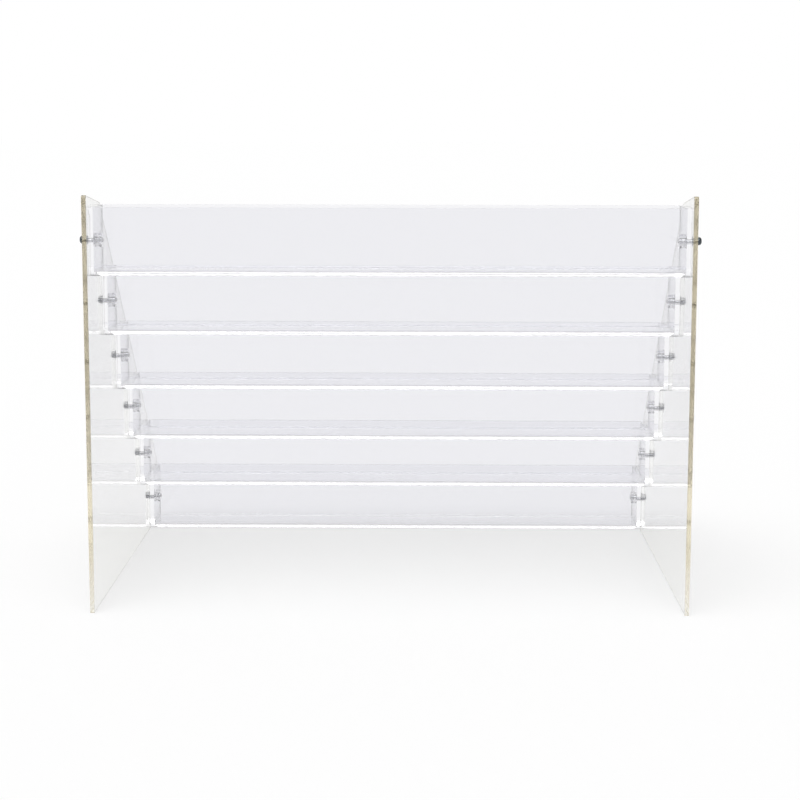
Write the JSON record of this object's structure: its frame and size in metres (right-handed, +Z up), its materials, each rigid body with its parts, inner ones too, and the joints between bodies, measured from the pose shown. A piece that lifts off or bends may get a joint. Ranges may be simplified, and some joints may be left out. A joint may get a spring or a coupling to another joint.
{
  "type": "nail polish rack",
  "caption": "Free-standing clear acrylic stair-step bottle rack: open trays between two side panels, each tray clamped at its ends by thumbscrews with cap nuts.",
  "frame": {"origin": "on the table, under the middle of the rack's box", "axes": "+X along the trays, +Z up, -Y the tall back of the rack, which the picture looks at, +Y the low front where the steps come down"},
  "size_m": [0.402, 0.309, 0.2712],
  "materials": {
    "panel_acrylic": "clear cast acrylic sheet, polished faces, tan cut edges",
    "tray_acrylic": "clear acrylic, polished, flame-polished rims",
    "knob_acrylic": "clear moulded plastic, glossy",
    "stud_steel": "zinc-plated steel thread",
    "cap_nut_steel": "dark nickel-plated steel, glossy"
  },
  "bodies": {
    "root": {"side_panel_left": "panel_acrylic", "side_panel_right": "panel_acrylic", "tray_6": "tray_acrylic", "cap_nut_left_1": "cap_nut_steel", "cap_nut_right_1": "cap_nut_steel", "cap_nut_left_2": "cap_nut_steel", "cap_nut_right_2": "cap_nut_steel", "cap_nut_left_3": "cap_nut_steel", "cap_nut_right_3": "cap_nut_steel", "cap_nut_left_4": "cap_nut_steel", "cap_nut_right_4": "cap_nut_steel", "cap_nut_left_5": "cap_nut_steel", "cap_nut_right_5": "cap_nut_steel", "cap_nut_left_6": "cap_nut_steel", "cap_nut_right_6": "cap_nut_steel"},
    "tray_1": {"tray_1": "tray_acrylic"},
    "thumbscrew_left_1": {"thumb_knob_left_1": "knob_acrylic", "stud_left_1": "stud_steel"},
    "thumbscrew_right_1": {"thumb_knob_right_1": "knob_acrylic", "stud_right_1": "stud_steel"},
    "tray_2": {"tray_2": "tray_acrylic"},
    "thumbscrew_left_2": {"thumb_knob_left_2": "knob_acrylic", "stud_left_2": "stud_steel"},
    "thumbscrew_right_2": {"thumb_knob_right_2": "knob_acrylic", "stud_right_2": "stud_steel"},
    "tray_3": {"tray_3": "tray_acrylic"},
    "thumbscrew_left_3": {"thumb_knob_left_3": "knob_acrylic", "stud_left_3": "stud_steel"},
    "thumbscrew_right_3": {"thumb_knob_right_3": "knob_acrylic", "stud_right_3": "stud_steel"},
    "tray_4": {"tray_4": "tray_acrylic"},
    "thumbscrew_left_4": {"thumb_knob_left_4": "knob_acrylic", "stud_left_4": "stud_steel"},
    "thumbscrew_right_4": {"thumb_knob_right_4": "knob_acrylic", "stud_right_4": "stud_steel"},
    "tray_5": {"tray_5": "tray_acrylic"},
    "thumbscrew_left_5": {"thumb_knob_left_5": "knob_acrylic", "stud_left_5": "stud_steel"},
    "thumbscrew_right_5": {"thumb_knob_right_5": "knob_acrylic", "stud_right_5": "stud_steel"},
    "thumbscrew_left_6": {"thumb_knob_left_6": "knob_acrylic", "stud_left_6": "stud_steel"},
    "thumbscrew_right_6": {"thumb_knob_right_6": "knob_acrylic", "stud_right_6": "stud_steel"}
  },
  "joints": [
    {"name": "tray_1_tilt", "type": "hinge", "parent": "root", "child": "tray_1", "pos_m": [0, -0.127, 0.2415], "axis": [-1, 0, 0], "range_deg": [-30, 30]},
    {"name": "thumbscrew_left_1_turn", "type": "hinge", "parent": "root", "child": "thumbscrew_left_1", "pos_m": [-0.1887, -0.127, 0.2415], "axis": [1, 0, 0], "range_deg": [0, 180]},
    {"name": "thumbscrew_right_1_turn", "type": "hinge", "parent": "root", "child": "thumbscrew_right_1", "pos_m": [0.1887, -0.127, 0.2415], "axis": [-1, 0, 0], "range_deg": [0, 180]},
    {"name": "tray_2_tilt", "type": "hinge", "parent": "root", "child": "tray_2", "pos_m": [0, -0.0762, 0.1977], "axis": [-1, 0, 0], "range_deg": [-30, 30]},
    {"name": "thumbscrew_left_2_turn", "type": "hinge", "parent": "root", "child": "thumbscrew_left_2", "pos_m": [-0.1887, -0.0762, 0.1977], "axis": [1, 0, 0], "range_deg": [0, 180]},
    {"name": "thumbscrew_right_2_turn", "type": "hinge", "parent": "root", "child": "thumbscrew_right_2", "pos_m": [0.1887, -0.0762, 0.1977], "axis": [-1, 0, 0], "range_deg": [0, 180]},
    {"name": "tray_3_tilt", "type": "hinge", "parent": "root", "child": "tray_3", "pos_m": [0, -0.0254, 0.1539], "axis": [-1, 0, 0], "range_deg": [-30, 30]},
    {"name": "thumbscrew_left_3_turn", "type": "hinge", "parent": "root", "child": "thumbscrew_left_3", "pos_m": [-0.1887, -0.0254, 0.1539], "axis": [1, 0, 0], "range_deg": [0, 180]},
    {"name": "thumbscrew_right_3_turn", "type": "hinge", "parent": "root", "child": "thumbscrew_right_3", "pos_m": [0.1887, -0.0254, 0.1539], "axis": [-1, 0, 0], "range_deg": [0, 180]},
    {"name": "tray_4_tilt", "type": "hinge", "parent": "root", "child": "tray_4", "pos_m": [0, 0.0254, 0.1101], "axis": [-1, 0, 0], "range_deg": [-30, 30]},
    {"name": "thumbscrew_left_4_turn", "type": "hinge", "parent": "root", "child": "thumbscrew_left_4", "pos_m": [-0.1887, 0.0254, 0.1101], "axis": [1, 0, 0], "range_deg": [0, 180]},
    {"name": "thumbscrew_right_4_turn", "type": "hinge", "parent": "root", "child": "thumbscrew_right_4", "pos_m": [0.1887, 0.0254, 0.1101], "axis": [-1, 0, 0], "range_deg": [0, 180]},
    {"name": "tray_5_tilt", "type": "hinge", "parent": "root", "child": "tray_5", "pos_m": [0, 0.0762, 0.0663], "axis": [-1, 0, 0], "range_deg": [-30, 30]},
    {"name": "thumbscrew_left_5_turn", "type": "hinge", "parent": "root", "child": "thumbscrew_left_5", "pos_m": [-0.1887, 0.0762, 0.0663], "axis": [1, 0, 0], "range_deg": [0, 180]},
    {"name": "thumbscrew_right_5_turn", "type": "hinge", "parent": "root", "child": "thumbscrew_right_5", "pos_m": [0.1887, 0.0762, 0.0663], "axis": [-1, 0, 0], "range_deg": [0, 180]},
    {"name": "thumbscrew_left_6_turn", "type": "hinge", "parent": "root", "child": "thumbscrew_left_6", "pos_m": [-0.1887, 0.127, 0.0225], "axis": [1, 0, 0], "range_deg": [0, 180]},
    {"name": "thumbscrew_right_6_turn", "type": "hinge", "parent": "root", "child": "thumbscrew_right_6", "pos_m": [0.1887, 0.127, 0.0225], "axis": [-1, 0, 0], "range_deg": [0, 180]}
  ]
}
